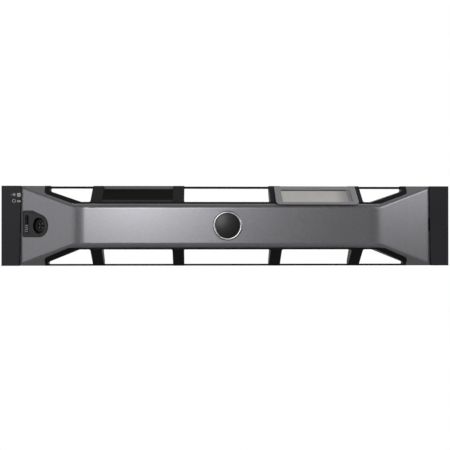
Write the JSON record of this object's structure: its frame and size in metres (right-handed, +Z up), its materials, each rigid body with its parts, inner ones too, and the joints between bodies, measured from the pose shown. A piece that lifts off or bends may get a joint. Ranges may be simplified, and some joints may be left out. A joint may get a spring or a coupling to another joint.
{
  "type": "server front bezel",
  "caption": "Two-unit rack enclosure bezel: bowed grey bar with flared ends, black windowed frame, charcoal end caps, key lock and thumb latch at the left, hinge hooks at the right.",
  "frame": {"origin": "middle of the rear seating plane, where both ends bear on the rack ears", "axes": "+X to the right seen from the front, +Y to the rear into the rack, +Z up; the front faces -Y"},
  "size_m": [0.4826, 0.0552, 0.086],
  "materials": {
    "black_plastic": "fine moulded texture, matt",
    "silver_paint": "satin silver-grey metallic paint over plastic",
    "charcoal_plastic": "fine moulded texture, satin",
    "bright_chrome": "polished plating",
    "dark_gloss": "smooth dark domed resin",
    "spring_steel": "oiled spring steel",
    "grey_plastic": "satin grey paint",
    "frosted_pane": "frosted translucent window, backed pale",
    "dark_metal": "dark plated zinc",
    "bright_steel": "zinc-plated steel",
    "clear_lens": "clear light pipe, unlit"
  },
  "bodies": {
    "bezel": {"inner_frame": "black_plastic", "outer_fascia": "silver_paint", "left_end_cap": "charcoal_plastic", "right_end_cap": "charcoal_plastic", "badge_ring": "bright_chrome", "badge_disc": "dark_gloss", "badge_clip": "spring_steel", "nameplate": "black_plastic", "label_frame": "grey_plastic", "label_pane": "frosted_pane", "lock_escutcheon": "charcoal_plastic", "lock_barrel": "dark_metal", "lock_nut": "bright_steel", "latch_cover": "black_plastic", "latch_cover_screws": "bright_steel", "latch_spring": "spring_steel", "status_lens": "clear_lens", "power_lens": "clear_lens", "hinge_bracket": "bright_steel", "bracket_screws": "bright_steel", "fascia_screws": "bright_steel", "end_cap_screws": "bright_steel"},
    "latch": {"release_slider": "charcoal_plastic", "latch_bar": "bright_steel"},
    "lock": {"lock_plug": "dark_metal", "lock_cam": "bright_steel", "cam_screw": "bright_steel"}
  },
  "joints": [
    {"name": "latch_slide", "type": "slide", "parent": "bezel", "child": "latch", "axis": [0, 0, 1], "range_m": [0, 0.0075], "stiffness_N_per_m": 150, "springref_m": -0.01, "deforming": ["latch_spring"]},
    {"name": "lock_turn", "type": "hinge", "parent": "bezel", "child": "lock", "pos_m": [-0.1997, -0.01826, 0], "axis": [0.478, 0.8784, 0], "range_deg": [0, 90]}
  ]
}
